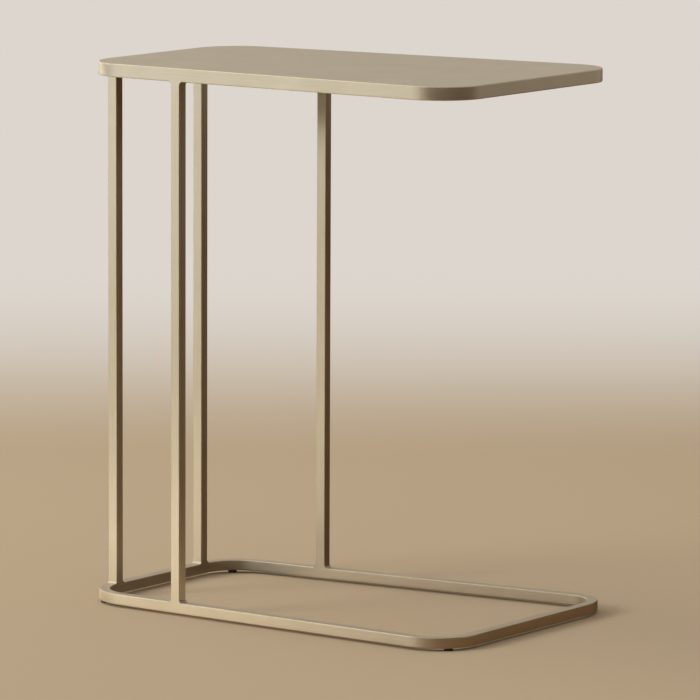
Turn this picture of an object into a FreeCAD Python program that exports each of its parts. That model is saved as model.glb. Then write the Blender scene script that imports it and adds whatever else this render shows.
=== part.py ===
import FreeCAD, Part
import math
import os

from FreeCAD import Vector

# C-shaped side table that slides over the seat or arm of a sofa.
# A solid steel top stands on four square posts, which rise from an open base ring near one short end.
# X runs from the post end to the open end, Y across the table, Z up. The floor is Z = 0.

# Whole table, in millimetres
table_height = 610.0
table_length = 516.0
post_end_width = 277.0
open_end_width = 340.0
post_end_corner_radius = 56.0
open_end_corner_radius = 51.0

# Bar bent into the top ring and the base ring, each in two halves butt-welded end to end
rail_width = 12.0
top_rail_height = 12.0
base_rail_height = 12.0
rail_edge_radius = 1.0
rail_joint_share = 0.5

# Sheet welded on the top ring and ground flush with it
sheet_thickness = 3.0
sheet_edge_radius = 1.2

# Square posts, flush with the outer and inner faces of the rings
post_side = 12.0
post_edge_radius = 1.0
end_post_from_bend = 4.4
side_post_from_bend = 83.8

# Weld fillets, ground hollow, where a post meets a ring
weld_leg = 2.4
weld_toe = 0.3

# Short beads that hold the sheet to the ring from below
tack_leg = 3.0
tack_length = 22.0
tack_bulge = 0.5
tack_shares = (0.12, 0.5, 0.88)

# Levelling feet: a steel stud turns in a tapped hole of the ring and in the socket of its plastic pad
pad_height = 3.0
pad_radius = 5.0
pad_edge_radius = 0.6
pad_floor_thickness = 0.8
pad_key_hole_radius = 2.0
post_end_foot_share = 0.55
open_end_foot_share = 0.43
stud_thread_radius = 3.0
stud_neck_radius = 2.3
stud_head_radius = 3.6
stud_head_height = 1.3
stud_reach = 7.5
stud_tip_chamfer = 0.8
key_flats = 6
key_across_flats = 2.5
key_depth = 2.8
tapped_hole_depth = 8.2
turning_clearance = 0.05
end_clearance = 0.1

# Overrun of cutting tools past the faces that they cut
overrun = 2.0

# Heights that follow from the sizes above
base_bottom = pad_height
base_top = base_bottom + base_rail_height
sheet_bottom = table_height - sheet_thickness
ring_bottom = sheet_bottom - top_rail_height
post_length = ring_bottom - base_top


def trapezoid_corners():
    """The sharp corners of the outline, counter-clockwise from the post end's front."""
    half_length = table_length / 2
    half_post_end = post_end_width / 2
    half_open_end = open_end_width / 2
    return [
        Vector(-half_length, -half_post_end, 0),
        Vector(half_length, -half_open_end, 0),
        Vector(half_length, half_open_end, 0),
        Vector(-half_length, half_post_end, 0),
    ]


corners = trapezoid_corners()
corner_radii = [
    post_end_corner_radius,
    open_end_corner_radius,
    open_end_corner_radius,
    post_end_corner_radius,
]
post_end_front, open_end_front, open_end_back, post_end_back = range(len(corners))
front_side, open_side, back_side, post_side_edge = range(len(corners))


def side_direction(side):
    start = corners[side]
    end = corners[(side + 1) % len(corners)]
    return (end - start).normalize()


def side_normal(side):
    """Points out of the outline."""
    along = side_direction(side)
    return Vector(along.y, -along.x, 0)


def corner_bisector(corner):
    """Points out of the outline, halfway between the normals of the corner's two sides."""
    return (side_normal(corner - 1) + side_normal(corner)).normalize()


def corner_centre(corner):
    """The centre of the corner's arc, the same for every inset."""
    bisector = corner_bisector(corner)
    spread = bisector.dot(side_normal(corner))
    return corners[corner] - bisector * (corner_radii[corner] / spread)


def outline(inset, height):
    """The rounded trapezoid, drawn in from the outer face by the inset."""
    lift = Vector(0, 0, height)
    starts = []
    middles = []
    ends = []
    for corner in range(len(corners)):
        radius = corner_radii[corner] - inset
        centre = corner_centre(corner) + lift
        starts.append(centre + side_normal(corner - 1) * radius)
        middles.append(centre + corner_bisector(corner) * radius)
        ends.append(centre + side_normal(corner) * radius)
    edges = []
    for corner in range(len(corners)):
        following = (corner + 1) % len(corners)
        edges.append(Part.Arc(starts[corner], middles[corner], ends[corner]).toShape())
        edges.append(Part.LineSegment(ends[corner], starts[following]).toShape())
    return Part.Wire(edges)


def outline_face(inset, height):
    return Part.Face(outline(inset, height))


def edges_at(shape, height):
    """The edges that lie flat at one height."""
    found = []
    for edge in shape.Edges:
        box = edge.BoundBox
        if abs(box.ZMin - height) < Part.Precision.confusion() and box.ZLength < Part.Precision.confusion():
            found.append(edge)
    return found


def ring(bottom, height, round_top):
    """A closed ring of bar with eased edges, before it is parted into its halves."""
    section = outline_face(0, bottom).cut(outline_face(rail_width, bottom))
    bar = section.extrude(Vector(0, 0, height))
    eased = edges_at(bar, bottom)
    if round_top:
        eased += edges_at(bar, bottom + height)
    return bar.makeFillet(rail_edge_radius, eased)


def post_end_side_of_joint():
    """A block that holds everything on the post end's side of the rails' butt joint."""
    joint_x = -table_length / 2 + table_length * rail_joint_share
    widest = max(post_end_width, open_end_width) + 2 * overrun
    low = Vector(-table_length / 2 - overrun, -widest / 2, -overrun)
    return Part.makeBox(joint_x - low.x, widest, table_height + 2 * overrun, low)


def halves(whole):
    """The post end's half and the open end's half, which meet face to face."""
    block = post_end_side_of_joint()
    return whole.common(block).Solids[0], whole.cut(block).Solids[0]


def top_sheet():
    sheet = outline_face(0, sheet_bottom).extrude(Vector(0, 0, sheet_thickness))
    return sheet.makeFillet(sheet_edge_radius, edges_at(sheet, table_height))


def on_side(shape, side, place):
    """Turns a shape made along X, with its outer face on Y = 0, to stand at a place on a side."""
    along = side_direction(side)
    turned = shape.copy()
    turned.rotate(Vector(), Vector(0, 0, 1), math.degrees(math.atan2(along.y, along.x)))
    turned.translate(place)
    return turned


def bend_end(corner, side):
    """Where the arc of a corner meets one of its two straight sides, on the outer face."""
    return corner_centre(corner) + side_normal(side) * corner_radii[corner]


def post_places():
    """Each post's side and the middle of its outer face, seen from above."""
    end_step = side_direction(post_side_edge) * end_post_from_bend
    front_step = side_direction(front_side) * side_post_from_bend
    back_step = side_direction(back_side) * side_post_from_bend
    return {
        "front_end_post": (post_side_edge, bend_end(post_end_front, post_side_edge) - end_step),
        "back_end_post": (post_side_edge, bend_end(post_end_back, post_side_edge) + end_step),
        "front_side_post": (front_side, bend_end(post_end_front, front_side) + front_step),
        "back_side_post": (back_side, bend_end(post_end_back, back_side) - back_step),
    }


def post():
    """A square bar with eased arrises, standing on the base ring."""
    bar = Part.makeBox(post_side, post_side, post_length, Vector(-post_side / 2, 0, base_top))
    arrises = []
    for edge in bar.Edges:
        if edge.BoundBox.ZLength > post_length / 2:
            arrises.append(edge)
    return bar.makeFillet(post_edge_radius, arrises)


def weld_block(level, away):
    """The filled space round a post's end. Away is 1 on the base ring and -1 under the top ring."""
    half = post_side / 2
    hollow = weld_leg - weld_toe
    low = level - away * rail_edge_radius
    toe = level + away * weld_toe
    crest = level + away * weld_leg
    middle = hollow * (1 - math.cos(math.pi / 4))
    right_toe = Vector(half + weld_leg, 0, toe)
    right_crest = Vector(half + weld_toe, 0, crest)
    right_middle = Vector(half + weld_toe + middle, 0, toe + away * middle)
    left_toe = Vector(-half - weld_leg, 0, toe)
    left_crest = Vector(-half - weld_toe, 0, crest)
    left_middle = Vector(-half - weld_toe - middle, 0, toe + away * middle)
    right_low = Vector(half + weld_leg, 0, low)
    left_low = Vector(-half - weld_leg, 0, low)
    edges = [
        Part.LineSegment(left_low, right_low).toShape(),
        Part.LineSegment(right_low, right_toe).toShape(),
        Part.Arc(right_toe, right_middle, right_crest).toShape(),
        Part.LineSegment(right_crest, left_crest).toShape(),
        Part.Arc(left_crest, left_middle, left_toe).toShape(),
        Part.LineSegment(left_toe, left_low).toShape(),
    ]
    return Part.Face(Part.Wire(edges)).extrude(Vector(0, post_side, 0))


def tack_bead():
    """A short bead in the corner between the ring's inner face and the sheet, made along X."""
    wall_end = Vector(-tack_length / 2, rail_width, sheet_bottom - tack_leg)
    sheet_end = Vector(-tack_length / 2, rail_width + tack_leg, sheet_bottom)
    root = Vector(-tack_length / 2, rail_width, sheet_bottom)
    slope = Vector(0, 1, -1).normalize()
    crown = (wall_end + sheet_end) * 0.5 + slope * tack_bulge
    edges = [
        Part.LineSegment(root, wall_end).toShape(),
        Part.Arc(wall_end, crown, sheet_end).toShape(),
        Part.LineSegment(sheet_end, root).toShape(),
    ]
    return Part.Face(Part.Wire(edges)).extrude(Vector(tack_length, 0, 0))


def tack_welds():
    """Beads at even shares of each side, between its two corner arcs."""
    beads = []
    for side in range(len(corners)):
        following = (side + 1) % len(corners)
        along = side_direction(side)
        start = bend_end(side, side)
        end = bend_end(following, side)
        for share in tack_shares:
            beads.append(on_side(tack_bead(), side, start + along * ((end - start).Length * share)))
    return Part.makeCompound(beads)


def foot_place(corner, short_side, long_side, share):
    """The middle of the bar, at a share of the corner's bend from its end on the short side."""
    bend = FreeCAD.Rotation(side_normal(short_side), side_normal(long_side))
    outward = FreeCAD.Rotation().slerp(bend, share).multVec(side_normal(short_side))
    return corner_centre(corner) + outward * (corner_radii[corner] - rail_width / 2)


def foot_places():
    return {
        "post_end_front": foot_place(post_end_front, post_side_edge, front_side, post_end_foot_share),
        "open_end_front": foot_place(open_end_front, open_side, front_side, open_end_foot_share),
        "open_end_back": foot_place(open_end_back, open_side, back_side, open_end_foot_share),
        "post_end_back": foot_place(post_end_back, post_side_edge, back_side, post_end_foot_share),
    }


def tapped_hole(place):
    bottom = place + Vector(0, 0, base_bottom - overrun)
    return Part.makeCylinder(stud_thread_radius + turning_clearance, tapped_hole_depth + overrun, bottom)


def foot_pad(place):
    """A moulded pad, with a socket that holds the stud's head and a hole below for the key."""
    body = Part.makeCylinder(pad_radius, pad_height, place)
    body = body.makeFillet(pad_edge_radius, edges_at(body, 0))
    socket_floor = place + Vector(0, 0, pad_floor_thickness)
    socket = Part.makeCylinder(
        stud_head_radius + turning_clearance,
        stud_head_height + end_clearance,
        socket_floor,
    )
    neck_hole = Part.makeCylinder(stud_neck_radius + turning_clearance, pad_height, socket_floor)
    key_hole = Part.makeCylinder(pad_key_hole_radius, pad_height, place - Vector(0, 0, overrun))
    return body.cut(socket).cut(neck_hole).cut(key_hole)


def key_socket(place):
    """The hexagonal socket in the stud's head."""
    radius = key_across_flats / 2 / math.cos(math.pi / key_flats)
    points = []
    for flat in range(key_flats):
        angle = 2 * math.pi * flat / key_flats
        points.append(place + Vector(radius * math.cos(angle), radius * math.sin(angle), 0))
    points.append(points[0])
    return Part.Face(Part.makePolygon(points)).extrude(Vector(0, 0, key_depth))


def foot_stud(place):
    """A headed stud: the head turns in the pad, and the shank screws into the ring."""
    head_bottom = place + Vector(0, 0, pad_floor_thickness)
    shank_bottom = place + Vector(0, 0, pad_height + end_clearance)
    shank_length = stud_reach - end_clearance
    head = Part.makeCylinder(stud_head_radius, stud_head_height, head_bottom)
    neck = Part.makeCylinder(stud_neck_radius, shank_bottom.z - head_bottom.z, head_bottom)
    shank = Part.makeCylinder(stud_thread_radius, shank_length, shank_bottom)
    shank = shank.makeChamfer(stud_tip_chamfer, edges_at(shank, pad_height + stud_reach))
    return head.fuse([neck, shank]).removeSplitter().cut(key_socket(head_bottom))


base_ring = ring(base_bottom, base_rail_height, True)
for place in foot_places().values():
    base_ring = base_ring.cut(tapped_hole(place))
top_ring = ring(ring_bottom, top_rail_height, False)

# The welds are ground flush with the rings' outer faces
inside_outline = outline_face(0, 0).extrude(Vector(0, 0, table_height))

nodes = {"top_sheet": top_sheet(), "sheet_tack_welds": tack_welds()}
nodes["top_ring_post_half"], nodes["top_ring_open_half"] = halves(top_ring)
nodes["base_ring_post_half"], nodes["base_ring_open_half"] = halves(base_ring)

for name, (side, place) in post_places().items():
    standing = on_side(post(), side, place)
    foot_weld = on_side(weld_block(base_top, 1), side, place).common(inside_outline)
    head_weld = on_side(weld_block(ring_bottom, -1), side, place).common(inside_outline)
    nodes[name] = standing
    nodes[name + "_foot_weld"] = foot_weld.cut(base_ring).cut(standing)
    nodes[name + "_head_weld"] = head_weld.cut(top_ring).cut(standing)

for name, place in foot_places().items():
    nodes["foot_pad_" + name] = foot_pad(place)
    nodes["foot_stud_" + name] = foot_stud(place)

os.makedirs("parts", exist_ok=True)
for name, shape in nodes.items():
    shape.exportStep("parts/" + name + ".step")
    print(name, len(shape.Solids), "solids", round(shape.Volume, 1), "mm3", shape.isValid())
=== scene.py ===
import math

import bmesh
import bpy
from mathutils import Matrix, Vector


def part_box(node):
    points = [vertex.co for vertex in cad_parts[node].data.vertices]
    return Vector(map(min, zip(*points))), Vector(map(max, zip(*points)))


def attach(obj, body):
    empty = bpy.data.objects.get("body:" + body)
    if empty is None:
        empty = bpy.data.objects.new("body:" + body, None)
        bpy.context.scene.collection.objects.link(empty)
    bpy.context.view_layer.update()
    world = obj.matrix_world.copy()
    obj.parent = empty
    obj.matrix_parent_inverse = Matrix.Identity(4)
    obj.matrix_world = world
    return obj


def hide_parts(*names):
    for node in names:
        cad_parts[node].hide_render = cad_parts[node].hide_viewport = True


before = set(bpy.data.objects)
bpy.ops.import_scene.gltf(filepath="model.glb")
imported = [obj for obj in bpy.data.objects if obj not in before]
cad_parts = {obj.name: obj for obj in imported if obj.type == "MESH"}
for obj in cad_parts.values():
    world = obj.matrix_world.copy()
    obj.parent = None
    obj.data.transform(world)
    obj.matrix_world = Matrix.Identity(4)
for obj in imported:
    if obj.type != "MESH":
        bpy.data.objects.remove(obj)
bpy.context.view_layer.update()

# Base ring.
# Mild steel bar, 12 mm square, bent into two halves that are butt-welded and dressed flush.
# The whole frame is then brushed, plated with a pale brass and lacquered to a champagne satin.

BASE_RING = ["base_ring_post_half", "base_ring_open_half"]
MM = 0.001
MARK_LENGTH = 60 * MM
MARK_GAP = 1.2 * MM
CLOUD_WIDTH = 55 * MM
# The Mix node's colour sockets, by number, because its other modes have the same names.
MIX_A, MIX_B, MIX_RESULT = 6, 7, 2


def linear_colour(hex_code):
    """An sRGB hex colour as the linear values that a shader takes."""
    channels = [int(hex_code[i:i + 2], 16) / 255 for i in (1, 3, 5)]
    linear = [c / 12.92 if c <= 0.04045 else ((c + 0.055) / 1.055) ** 2.4 for c in channels]
    return (*linear, 1.0)


def add_node(tree, kind, settings=None, links=None):
    """Adds a shader node. Settings are properties or, by socket, values; links feed sockets."""
    node = tree.nodes.new(kind)
    for key, value in (settings or {}).items():
        if isinstance(key, int) or key in node.inputs:
            node.inputs[key].default_value = value
        else:
            setattr(node, key, value)
    for key, output in (links or {}).items():
        tree.links.new(output, node.inputs[key])
    return node


def node_material(name):
    """A material with an empty node tree, and that tree."""
    material = bpy.data.materials.new(name)
    material.use_nodes = True
    material.node_tree.nodes.clear()
    return material, material.node_tree


def champagne_brass(name, grain):
    """Brass plate over brushed steel, lacquered. Grain is a mark's size along X, Y and Z.

    The brush marks spread the highlights across the bar and leave faint streaks along it, the
    plate gives the pale gold, and the lacquer a soft pale sheen at low angles. Real marks are
    0.1 mm apart, and these are drawn 1.2 mm apart, so that they show from a step away.
    """
    material, tree = node_material(name)
    place = add_node(tree, "ShaderNodeTexCoord")
    along = add_node(
        tree, "ShaderNodeMapping",
        {"Scale": [1 / size for size in grain]},
        {"Vector": place.outputs["Object"]},
    )
    marks = add_node(
        tree, "ShaderNodeTexNoise",
        {"Scale": 1.0, "Detail": 3.0, "Roughness": 0.6},
        {"Vector": along.outputs["Vector"]},
    )
    clouds = add_node(
        tree, "ShaderNodeTexNoise",
        {"Scale": 1 / CLOUD_WIDTH, "Detail": 2.0, "Roughness": 0.5},
        {"Vector": place.outputs["Object"]},
    )
    plate = add_node(
        tree, "ShaderNodeMix",
        {"data_type": "RGBA", MIX_A: linear_colour("#cfc6b1"), MIX_B: linear_colour("#c2b8a2")},
        {"Factor": clouds.outputs["Fac"]},
    )
    tone = add_node(
        tree, "ShaderNodeMapRange",
        {"From Min": 0.3, "From Max": 0.7, "To Min": 0.92, "To Max": 1.06},
        {"Value": marks.outputs["Fac"]},
    )
    streaked = add_node(
        tree, "ShaderNodeVectorMath",
        {"operation": "SCALE"},
        {"Vector": plate.outputs[MIX_RESULT], "Scale": tone.outputs["Result"]},
    )
    satin = add_node(
        tree, "ShaderNodeMapRange",
        {"From Min": 0.3, "From Max": 0.7, "To Min": 0.44, "To Max": 0.54},
        {"Value": marks.outputs["Fac"]},
    )
    relief = add_node(
        tree, "ShaderNodeBump",
        {"Strength": 0.25, "Distance": 0.03 * MM},
        {"Height": marks.outputs["Fac"]},
    )
    surface = add_node(
        tree, "ShaderNodeBsdfPrincipled",
        {"Metallic": 1.0, "Coat Weight": 0.12, "Coat Roughness": 0.3},
        {
            "Base Color": streaked.outputs["Vector"],
            "Roughness": satin.outputs["Result"],
            "Normal": relief.outputs["Normal"],
        },
    )
    add_node(tree, "ShaderNodeOutputMaterial", None, {"Surface": surface.outputs["BSDF"]})
    return material


def finish_nodes(names, material):
    """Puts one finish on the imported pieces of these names."""
    for name in names:
        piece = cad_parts[name]
        piece.data.materials.clear()
        piece.data.materials.append(material)


rail_finish = champagne_brass("brushed_brass_along_rail", (MARK_LENGTH, MARK_LENGTH, MARK_GAP))
finish_nodes(BASE_RING, rail_finish)

# Posts and their welds.
# Four 12 mm square steel bars stand on the base ring and carry the top ring.
# Each is welded at its foot and head, and the fillets are ground hollow before the frame is plated.

POSTS = ["front_end_post", "back_end_post", "front_side_post", "back_side_post"]

post_finish = champagne_brass("brushed_brass_along_post", (MARK_GAP, MARK_GAP, MARK_LENGTH))
finish_nodes(POSTS, post_finish)
finish_nodes([post + end for post in POSTS for end in ("_foot_weld", "_head_weld")], rail_finish)

# Top.
# A 3 mm steel sheet with rounded corners, ground flush with the bent ring of 12 mm square bar
# that it lies on. Short weld beads of small overlapping ripples hold it to the ring from below.

TOP_RING = ["top_ring_post_half", "top_ring_open_half"]
TABLE_LENGTH = 516 * MM
POST_END_WIDTH = 277 * MM
OPEN_END_WIDTH = 340 * MM
POST_END_RADIUS = 56 * MM
OPEN_END_RADIUS = 51 * MM
BAR_WIDTH = 12 * MM
SHEET_BOTTOM = 607 * MM
BEAD_SHARES = (0.12, 0.5, 0.88)
RIPPLES = 15
RIPPLE_STEP = 1.4 * MM
RIPPLE_RADIUS = 2.6 * MM
RIPPLE_REACH = 1.7 * MM
RIPPLE_FADE = 0.35
SHARP_ANGLE = math.radians(38)


def straight_sides():
    """The start and end of each side's straight run on the outer face, counter-clockwise."""
    corners = [
        (Vector((-TABLE_LENGTH / 2, -POST_END_WIDTH / 2, 0)), POST_END_RADIUS),
        (Vector((TABLE_LENGTH / 2, -OPEN_END_WIDTH / 2, 0)), OPEN_END_RADIUS),
        (Vector((TABLE_LENGTH / 2, OPEN_END_WIDTH / 2, 0)), OPEN_END_RADIUS),
        (Vector((-TABLE_LENGTH / 2, POST_END_WIDTH / 2, 0)), POST_END_RADIUS),
    ]
    trims = []
    for here, (corner, radius) in enumerate(corners):
        to_last = corners[here - 1][0] - corner
        to_next = corners[(here + 1) % len(corners)][0] - corner
        trims.append(radius / math.tan(to_last.angle(to_next) / 2))
    runs = []
    for here, (corner, radius) in enumerate(corners):
        following = (here + 1) % len(corners)
        along = (corners[following][0] - corner).normalized()
        end = corners[following][0] - along * trims[following]
        runs.append((corner + along * trims[here], end))
    return runs


def smooth_mesh(name, bm):
    """Turns what was built into a mesh that is shaded smooth but for its sharp edges."""
    for face in bm.faces:
        face.smooth = True
    for edge in bm.edges:
        edge.smooth = edge.calc_face_angle(0) < SHARP_ANGLE
    mesh = bpy.data.meshes.new(name)
    bm.to_mesh(mesh)
    bm.free()
    return mesh


def weld_bead():
    """One bead along X, rooted on the origin: overlapping ripples, smaller at both ends."""
    metal = bmesh.new()
    for ripple in range(RIPPLES):
        step = ripple - (RIPPLES - 1) / 2
        fade = 1 - RIPPLE_FADE * (2 * step / (RIPPLES - 1)) ** 4
        form = Matrix.Diagonal((RIPPLE_REACH, RIPPLE_RADIUS * fade, RIPPLE_RADIUS * fade, 1))
        place = Matrix.Translation((step * RIPPLE_STEP, 0, 0))
        bmesh.ops.create_uvsphere(
            metal, u_segments=16, v_segments=10, radius=1, matrix=place @ form,
        )
    return smooth_mesh("weld_bead", metal)


def weld_beads():
    """Twelve beads: three to a side, in the corner between the ring's inner face and the sheet."""
    bead = weld_bead()
    metal = bmesh.new()
    for start, end in straight_sides():
        along = (end - start).normalized()
        inward = Vector((-along.y, along.x, 0))
        turn = Matrix((along, inward, (0, 0, 1))).transposed().to_4x4()
        for share in BEAD_SHARES:
            root = start.lerp(end, share) + inward * BAR_WIDTH + Vector((0, 0, SHEET_BOTTOM))
            laid = bead.copy()
            laid.transform(Matrix.Translation(root) @ turn)
            metal.from_mesh(laid)
    return smooth_mesh("sheet_weld_beads", metal)


def new_piece(name, mesh, material, body):
    """Makes a finished object of a mesh, and ties it to the body that it moves with."""
    mesh.materials.append(material)
    piece = bpy.data.objects.new(name, mesh)
    bpy.context.scene.collection.objects.link(piece)
    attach(piece, body)
    return piece


finish_nodes(TOP_RING, rail_finish)
sheet_finish = champagne_brass("brushed_brass_sheet", (MARK_LENGTH, MARK_GAP, MARK_GAP))
finish_nodes(["top_sheet"], sheet_finish)
beads = new_piece("sheet_weld_beads", weld_beads(), rail_finish, "frame")
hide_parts("sheet_tack_welds")

# Levelling feet.
# A moulded black nylon pad under each corner turns on the head of a zinc-plated M6 stud. The stud
# has a rolled thread, and is screwed into the ring with a hexagon key through the pad's hole.

CORNERS = ["post_end_front", "open_end_front", "open_end_back", "post_end_back"]
ROUND_STEPS = 48
HEAD_BOTTOM = 0.8 * MM
HEAD_TOP = 2.1 * MM
HEAD_RADIUS = 3.6 * MM
NECK_RADIUS = 2.3 * MM
EDGE_BREAK = 0.2 * MM
STUD_TOP = 10.5 * MM
TIP_RADIUS = 1.9 * MM
TIP_CHAMFER = 0.6 * MM
THREAD_START = 3.4 * MM
THREAD_PITCH = 1.0 * MM
THREAD_TURNS = 6
THREAD_CREST = 3.0 * MM
THREAD_ROOT = 2.45 * MM
THREAD_SINK = 0.1 * MM
FLANK_HEIGHT = 0.47 * THREAD_PITCH
SOCKET_FLATS = 6
SOCKET_APOTHEM = 1.25 * MM
SOCKET_DEPTH = 2.8 * MM
SOCKET_RIM = 0.2 * MM
MERGE_GAP = 0.001 * MM
SKIN_GRAIN = 0.5 * MM
PATCH_WIDTH = 1.5 * MM


def moulded_nylon():
    """Moulded nylon, black and matt, with the faint orange-peel skin of a small moulding."""
    material, tree = node_material("moulded_black_nylon")
    place = add_node(tree, "ShaderNodeTexCoord")
    skin = add_node(
        tree, "ShaderNodeTexNoise",
        {"Scale": 1 / SKIN_GRAIN, "Detail": 2.0},
        {"Vector": place.outputs["Object"]},
    )
    tint = add_node(
        tree, "ShaderNodeMix",
        {"data_type": "RGBA", MIX_A: linear_colour("#1b1a18"), MIX_B: linear_colour("#2a2826")},
        {"Factor": skin.outputs["Fac"]},
    )
    relief = add_node(
        tree, "ShaderNodeBump",
        {"Strength": 0.3, "Distance": 0.02 * MM},
        {"Height": skin.outputs["Fac"]},
    )
    surface = add_node(
        tree, "ShaderNodeBsdfPrincipled",
        {"Roughness": 0.6, "IOR": 1.53},
        {"Base Color": tint.outputs[MIX_RESULT], "Normal": relief.outputs["Normal"]},
    )
    add_node(tree, "ShaderNodeOutputMaterial", None, {"Surface": surface.outputs["BSDF"]})
    return material


def zinc_plate():
    """Bright zinc plate over a rolled steel screw: a cool pale grey with fine duller patches."""
    material, tree = node_material("bright_zinc_plate")
    place = add_node(tree, "ShaderNodeTexCoord")
    patches = add_node(
        tree, "ShaderNodeTexNoise",
        {"Scale": 1 / PATCH_WIDTH, "Detail": 3.0},
        {"Vector": place.outputs["Object"]},
    )
    tint = add_node(
        tree, "ShaderNodeMix",
        {"data_type": "RGBA", MIX_A: linear_colour("#c9ccd0"), MIX_B: linear_colour("#aeb2b6")},
        {"Factor": patches.outputs["Fac"]},
    )
    dullness = add_node(
        tree, "ShaderNodeMapRange",
        {"From Min": 0.3, "From Max": 0.7, "To Min": 0.25, "To Max": 0.4},
        {"Value": patches.outputs["Fac"]},
    )
    surface = add_node(
        tree, "ShaderNodeBsdfPrincipled",
        {"Metallic": 1.0},
        {"Base Color": tint.outputs[MIX_RESULT], "Roughness": dullness.outputs["Result"]},
    )
    add_node(tree, "ShaderNodeOutputMaterial", None, {"Surface": surface.outputs["BSDF"]})
    return material


def turned_profile(bm, points):
    """Lathes a line of (radius, height) points, in metres, all the way round Z."""
    verts = [bm.verts.new((radius, 0, height)) for radius, height in points]
    edges = [bm.edges.new(pair) for pair in zip(verts, verts[1:])]
    bmesh.ops.spin(
        bm, geom=verts + edges, cent=(0, 0, 0), axis=(0, 0, 1),
        angle=2 * math.pi, steps=ROUND_STEPS, use_merge=True,
    )


def threaded_stud():
    """The screw, head down, on the Z axis: turned core, rolled thread and key socket."""
    metal = bmesh.new()
    turned_profile(metal, [
        (0, STUD_TOP),
        (TIP_RADIUS, STUD_TOP),
        (THREAD_ROOT, STUD_TOP - TIP_CHAMFER),
        (THREAD_ROOT, THREAD_START),
        (NECK_RADIUS, THREAD_START - EDGE_BREAK),
        (NECK_RADIUS, HEAD_TOP),
        (HEAD_RADIUS - EDGE_BREAK, HEAD_TOP),
        (HEAD_RADIUS, HEAD_TOP - EDGE_BREAK),
        (HEAD_RADIUS, HEAD_BOTTOM + EDGE_BREAK),
        (HEAD_RADIUS - EDGE_BREAK, HEAD_BOTTOM),
    ])
    bmesh.ops.remove_doubles(metal, verts=metal.verts[:], dist=MERGE_GAP)

    flat = 2 * math.pi / SOCKET_FLATS
    for lift, flare in ((0, SOCKET_RIM), (SOCKET_RIM, 0), (SOCKET_DEPTH, 0)):
        rim = [edge for edge in metal.edges if edge.is_boundary]
        grown = bmesh.ops.extrude_edge_only(metal, edges=rim)["geom"]
        for vert in [item for item in grown if isinstance(item, bmesh.types.BMVert)]:
            across = (math.atan2(vert.co.y, vert.co.x) % flat) - flat / 2
            reach = (SOCKET_APOTHEM + flare) / math.cos(across)
            outward = Vector((vert.co.x, vert.co.y, 0)).normalized()
            vert.co = outward * reach + Vector((0, 0, HEAD_BOTTOM + lift))
    bmesh.ops.edgeloop_fill(metal, edges=[edge for edge in metal.edges if edge.is_boundary])

    ridge = bmesh.ops.create_circle(metal, cap_ends=True, segments=3, radius=1)["verts"]
    sunk = THREAD_ROOT - THREAD_SINK
    section = ((THREAD_CREST, 0), (sunk, FLANK_HEIGHT), (sunk, -FLANK_HEIGHT))
    for vert, (radius, height) in zip(ridge, section):
        vert.co = (radius, 0, THREAD_START + THREAD_PITCH / 2 + height)
    start = list(ridge) + list({edge for vert in ridge for edge in vert.link_edges})
    start += list({face for vert in ridge for face in vert.link_faces})
    bmesh.ops.spin(
        metal, geom=start, cent=(0, 0, 0), axis=(0, 0, 1),
        dvec=(0, 0, THREAD_PITCH / ROUND_STEPS),
        angle=2 * math.pi * THREAD_TURNS, steps=ROUND_STEPS * THREAD_TURNS, use_merge=False,
    )
    bmesh.ops.recalc_face_normals(metal, faces=metal.faces[:])
    return smooth_mesh("threaded_stud", metal)


nylon = moulded_nylon()
zinc = zinc_plate()
stud = threaded_stud()
for corner in CORNERS:
    finish_nodes(["foot_pad_" + corner], nylon)
    low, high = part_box("foot_stud_" + corner)
    fitted = stud.copy()
    fitted.transform(Matrix.Translation(((low[0] + high[0]) / 2, (low[1] + high[1]) / 2, 0)))
    screw = new_piece(
        "threaded_stud_" + corner, fitted, zinc, "stud_" + corner,
    )
    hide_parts("foot_stud_" + corner)

# Studio.
# A plain pale floor, seen from above only, and soft light from the front left and from overhead.
# Cloth panels that only the metal mirrors give its faces a painted dark bronze shade, and lamps
# that only the metal mirrors give them their sheen.

FLOOR_RADIUS = 14.0
BACKDROP_SIDE = (-0.567, 0.824, 0)
BACKDROP_NEAR = 1.1
BACKDROP_FAR = 3.2
SHADE_SIDE = (0.83, 0.56, 0)
SHADE_NEAR = -0.3
SHADE_FAR = 0.2
GLOW_NEAR = 0.4
GLOW_FAR = 1.4
# Along which axis, where it starts and where it is full, for each edge of the dark painted shadow
# patch that the metal mirrors. The patch lies past either of the first two and within the last
# three.
SHADOW_PATCH_EDGES = (
    ("X", -0.12, -0.2), ("Y", 0.13, 0.19),
    ("X", -0.27, -0.22), ("Y", -0.17, -0.11), ("X", 0.34, 0.24),
)


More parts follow.
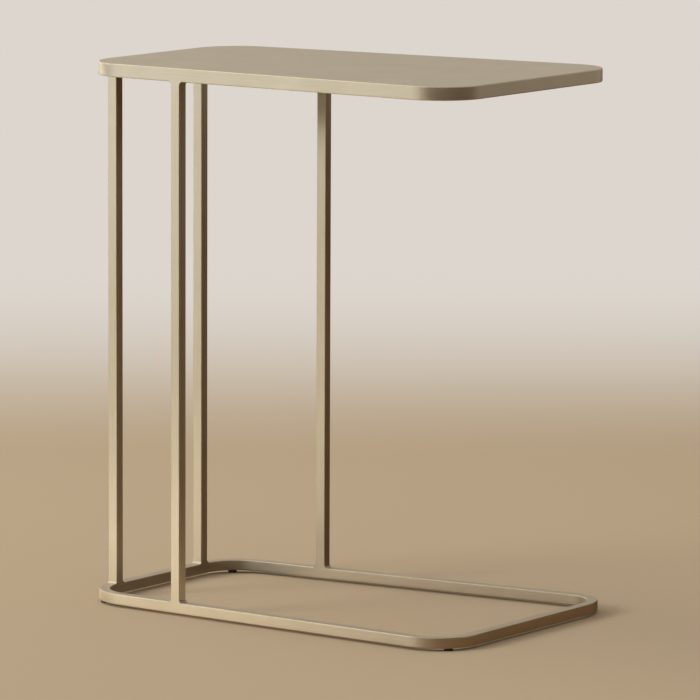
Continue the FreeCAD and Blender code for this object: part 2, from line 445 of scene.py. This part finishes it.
def matt_floor():
    """Matt paper, sand colour under the table and a pale backdrop behind it.

    In the metal's reflections only, the floor carries painted light on the left, most near the
    table, painted brown shade on the right, and a dark painted shadow patch inside the post end
    and behind the back side. The underside lets the light through, so that the table can be seen
    from below.
    """
    material, tree = node_material("pale_matt_paper")
    place = add_node(tree, "ShaderNodeTexCoord")
    away = add_node(
        tree, "ShaderNodeVectorMath",
        {"operation": "DOT_PRODUCT", 1: BACKDROP_SIDE},
        {0: place.outputs["Object"]},
    )
    far = add_node(
        tree, "ShaderNodeMapRange",
        {"interpolation_type": "SMOOTHSTEP", "From Min": BACKDROP_NEAR, "From Max": BACKDROP_FAR},
        {"Value": away.outputs["Value"]},
    )
    tint = add_node(
        tree, "ShaderNodeMix",
        {"data_type": "RGBA", MIX_A: linear_colour("#b9a890"), MIX_B: linear_colour("#e0d9d0")},
        {"Factor": far.outputs["Result"]},
    )
    # Glossy rays see painted light on the floor's left, fading outward, and painted shade on its
    # right.
    ray = add_node(tree, "ShaderNodeLightPath")
    rightward = add_node(
        tree, "ShaderNodeVectorMath",
        {"operation": "DOT_PRODUCT", 1: SHADE_SIDE},
        {0: place.outputs["Object"]},
    )
    shade = add_node(
        tree, "ShaderNodeMapRange",
        {"interpolation_type": "SMOOTHSTEP", "From Min": SHADE_NEAR, "From Max": SHADE_FAR},
        {"Value": rightward.outputs["Value"]},
    )
    reach = add_node(
        tree, "ShaderNodeVectorMath",
        {"operation": "LENGTH"},
        {0: place.outputs["Object"]},
    )
    outward = add_node(
        tree, "ShaderNodeMapRange",
        {"interpolation_type": "SMOOTHSTEP", "From Min": GLOW_NEAR, "From Max": GLOW_FAR},
        {"Value": reach.outputs["Value"]},
    )
    painted_light_side = add_node(
        tree, "ShaderNodeMix",
        {"data_type": "RGBA", MIX_A: linear_colour("#f8e8ce"), MIX_B: linear_colour("#aca796")},
        {"Factor": outward.outputs["Result"]},
    )
    mirrored = add_node(
        tree, "ShaderNodeMix",
        {"data_type": "RGBA", MIX_B: linear_colour("#997c5f")},
        {"Factor": shade.outputs["Result"], MIX_A: painted_light_side.outputs[MIX_RESULT]},
    )
    # A dark painted shadow patch, seen by glossy rays only, inside the post end and behind the back
    # side.
    across = add_node(tree, "ShaderNodeSeparateXYZ", None, {"Vector": place.outputs["Object"]})
    within = [
        add_node(
            tree, "ShaderNodeMapRange",
            {"interpolation_type": "SMOOTHSTEP", "From Min": outer, "From Max": inner},
            {"Value": across.outputs[axis]},
        ).outputs["Result"]
        for axis, outer, inner in SHADOW_PATCH_EDGES
    ]
    shadow_patch = add_node(
        tree, "ShaderNodeMath",
        {"operation": "MAXIMUM"},
        {0: within[0], 1: within[1]},
    )
    for limit in within[2:]:
        shadow_patch = add_node(
            tree, "ShaderNodeMath",
            {"operation": "MULTIPLY"},
            {0: shadow_patch.outputs["Value"], 1: limit},
        )
    with_painted_shadow = add_node(
        tree, "ShaderNodeMix",
        {"data_type": "RGBA", MIX_B: linear_colour("#584430")},
        {"Factor": shadow_patch.outputs["Value"], MIX_A: mirrored.outputs[MIX_RESULT]},
    )
    shaded = add_node(
        tree, "ShaderNodeMix",
        {"data_type": "RGBA"},
        {
            "Factor": ray.outputs["Is Glossy Ray"],
            MIX_A: tint.outputs[MIX_RESULT],
            MIX_B: with_painted_shadow.outputs[MIX_RESULT],
        },
    )
    lit = add_node(
        tree, "ShaderNodeBsdfDiffuse",
        None,
        {"Color": shaded.outputs[MIX_RESULT]},
    )
    seen = add_node(
        tree, "ShaderNodeMath",
        {"operation": "MAXIMUM"},
        {0: ray.outputs["Is Camera Ray"], 1: ray.outputs["Is Glossy Ray"]},
    )
    white = add_node(
        tree, "ShaderNodeMath",
        {"operation": "MULTIPLY"},
        {0: seen.outputs["Value"], 1: far.outputs["Result"]},
    )
    glow = add_node(
        tree, "ShaderNodeEmission",
        {"Color": linear_colour("#dcd6ce"), "Strength": 1.0},
    )
    paper = add_node(
        tree, "ShaderNodeMixShader",
        None,
        {0: white.outputs["Value"], 1: lit.outputs["BSDF"], 2: glow.outputs["Emission"]},
    )
    clear = add_node(tree, "ShaderNodeBsdfTransparent")
    side = add_node(tree, "ShaderNodeNewGeometry")
    mix = add_node(
        tree, "ShaderNodeMixShader",
        None,
        {0: side.outputs["Backfacing"], 1: paper.outputs["Shader"], 2: clear.outputs["BSDF"]},
    )
    add_node(tree, "ShaderNodeOutputMaterial", None, {"Surface": mix.outputs["Shader"]})
    return material


def studio_cloth(name, hex_code):
    """Matt cloth on a frame. Dark cloth takes up nearly all the light that falls on it."""
    material, tree = node_material(name)
    cloth = add_node(tree, "ShaderNodeBsdfDiffuse", {"Color": linear_colour(hex_code)})
    add_node(tree, "ShaderNodeOutputMaterial", None, {"Surface": cloth.outputs["BSDF"]})
    return material


def stage_piece(name, sheet, material):
    """Makes an object that belongs to the studio and not to the table."""
    mesh = bpy.data.meshes.new(name)
    sheet.to_mesh(mesh)
    sheet.free()
    mesh.materials.append(material)
    piece = bpy.data.objects.new(name, mesh)
    bpy.context.scene.collection.objects.link(piece)
    return piece


def facing(place, target):
    """The turn and place of a panel that stands at a point and looks at another."""
    towards = (Vector(target) - Vector(place)).to_track_quat("-Z", "Y")
    return Matrix.Translation(place) @ towards.to_matrix().to_4x4()


def studio_floor():
    """A disc of paper that reaches past the edges of the photograph."""
    sheet = bmesh.new()
    bmesh.ops.create_circle(sheet, cap_ends=True, segments=96, radius=FLOOR_RADIUS)
    stage_piece("floor", sheet, matt_floor())


def cloth_panel(name, cloth, place, target, width, height):
    """A panel that the metal mirrors. The camera and the floor's light pass it by."""
    sheet = bmesh.new()
    bmesh.ops.create_grid(sheet, x_segments=1, y_segments=1, size=0.5)
    bmesh.ops.scale(sheet, vec=(width, height, 1), verts=sheet.verts[:])
    bmesh.ops.transform(sheet, matrix=facing(place, target), verts=sheet.verts[:])
    panel = stage_piece(name, sheet, cloth)
    panel.visible_camera = False
    panel.visible_diffuse = False
    panel.visible_shadow = False


def softbox(name, place, target, width, height, watts, hex_code, mirrored_only=False):
    """A rectangular lamp that faces a point. One that is only mirrored lights nothing matt."""
    lamp = bpy.data.lights.new(name, "AREA")
    lamp.shape = "RECTANGLE"
    lamp.size = width
    lamp.size_y = height
    lamp.energy = watts
    lamp.color = linear_colour(hex_code)[:3]
    box = bpy.data.objects.new(name, lamp)
    bpy.context.scene.collection.objects.link(box)
    box.matrix_world = facing(place, target)
    box.visible_camera = False
    box.visible_diffuse = not mirrored_only


def window_light(name, place, target, spread, strength, hex_code):
    """Soft light from a far window, equally strong over the whole height of the table.

    The metal doesn't mirror it, because its image would turn the flat top white from behind.
    """
    lamp = bpy.data.lights.new(name, "SUN")
    lamp.angle = math.radians(spread)
    lamp.energy = strength
    lamp.color = linear_colour(hex_code)[:3]
    window = bpy.data.objects.new(name, lamp)
    bpy.context.scene.collection.objects.link(window)
    window.matrix_world = facing(place, target)
    window.visible_glossy = False


WINDOW_WHITE = "#fffaf4"
LAMP_WHITE = "#fffaf2"
SKY_BLUE = "#c2e4ff"

studio_floor()
dark_cloth = studio_cloth("dark_brown_cloth", "#57442f")
sand_cloth = studio_cloth("sand_cloth", "#8f764f")
# Panels seen only in the metal: the dark ones paint shade on the faces turned right and on the
# front right bends, and the sand one paints a tan reflection on faces turned up.
cloth_panel("back_right_panel", dark_cloth, (0.47, 0.69, 0.235), (0, 0, 0.235), 1.5, 0.47)
cloth_panel("post_panel", dark_cloth, (0.1, 0.385, 0.505), (-0.15, 0.015, 0.505), 0.42, 0.19)
# A dark card under the top that only the metal mirrors: painted shadow of the top on the back side
# post's head.
cloth_panel("top_shadow_card", dark_cloth, (-0.195, 0.016, 0.557), (-0.11, 0.14, 0.557), 0.12, 0.074)
cloth_panel("right_panel", dark_cloth, (1.15, -0.25, 0.42), (0, 0, 0.42), 1.6, 0.84)
cloth_panel("front_right_panel", dark_cloth, (0.645, -1.228, 0.42), (0, 0, 0.42), 1.6, 0.84)
cloth_panel("back_left_panel", sand_cloth, (-1.3, 1.9, 0.24), (0, 0, 0.24), 3.6, 0.48)
window_light("front_left_window", (-2.4, -3.5, 1.7), (0, 0, 0), 20, 1.6, WINDOW_WHITE)
softbox("overhead_softbox", (-1.7, -0.6, 2.5), (0, 0, 0.3), 2.2, 2.2, 30, LAMP_WHITE)
softbox(
    "front_left_softbox", (-1.283, -2.758, 0.5), (0, 0, 0.5), 3.6, 1.0, 14.8, WINDOW_WHITE,
    mirrored_only=True,
)
softbox(
    "low_front_softbox", (-0.24, -0.44, 0.04), (0, 0, 0.04), 0.65, 0.06, 0.14, WINDOW_WHITE,
    mirrored_only=True,
)
softbox(
    "top_edge_softbox", (-0.85, -0.95, 0.5), (0, 0, 0.5), 1.2, 0.12, 0.9, SKY_BLUE,
    mirrored_only=True,
)
softbox(
    "left_softbox", (-2.9, 0.9, 0.6), (0, 0, 0.3), 2.0, 1.0, 14, LAMP_WHITE,
    mirrored_only=True,
)

world = bpy.data.worlds.new("studio")
bpy.context.scene.world = world
world.use_nodes = True
sky = world.node_tree.nodes["Background"]
sky.inputs["Color"].default_value = linear_colour("#f4ece1")
sky.inputs["Strength"].default_value = 0.63

# Camera.
# A long lens about seven metres away, to the front right of the table and a little above its
# top, placed and turned so that the table fills the frame as it does in the photograph.

CAMERA_PLACE = (3.811156, -5.541359, 1.203014)
CAMERA_YAW = math.radians(34.4343)
CAMERA_PITCH = math.radians(7.7166)
CAMERA_ROLL = math.radians(0.2319)
SENSOR_MM = 36.0
FOCAL_PX = 6099.4
IMAGE_PX = 700


def photograph_camera():
    """The camera at its measured place, level to the horizon but for a small roll."""
    data = bpy.data.cameras.new("camera")
    data.sensor_width = SENSOR_MM
    data.lens = FOCAL_PX * SENSOR_MM / IMAGE_PX
    data.clip_end = 100.0
    camera = bpy.data.objects.new("camera", data)
    bpy.context.scene.collection.objects.link(camera)
    level = Vector((math.cos(CAMERA_YAW), math.sin(CAMERA_YAW), 0))
    ahead = Vector((
        -math.sin(CAMERA_YAW) * math.cos(CAMERA_PITCH),
        math.cos(CAMERA_YAW) * math.cos(CAMERA_PITCH),
        -math.sin(CAMERA_PITCH),
    ))
    upright = level.cross(ahead)
    right = level * math.cos(CAMERA_ROLL) + upright * math.sin(CAMERA_ROLL)
    up = upright * math.cos(CAMERA_ROLL) - level * math.sin(CAMERA_ROLL)
    turn = Matrix((right, up, -ahead)).transposed().to_4x4()
    camera.matrix_world = Matrix.Translation(CAMERA_PLACE) @ turn
    bpy.context.scene.camera = camera


photograph_camera()
bpy.context.scene.view_settings.view_transform = "Standard"
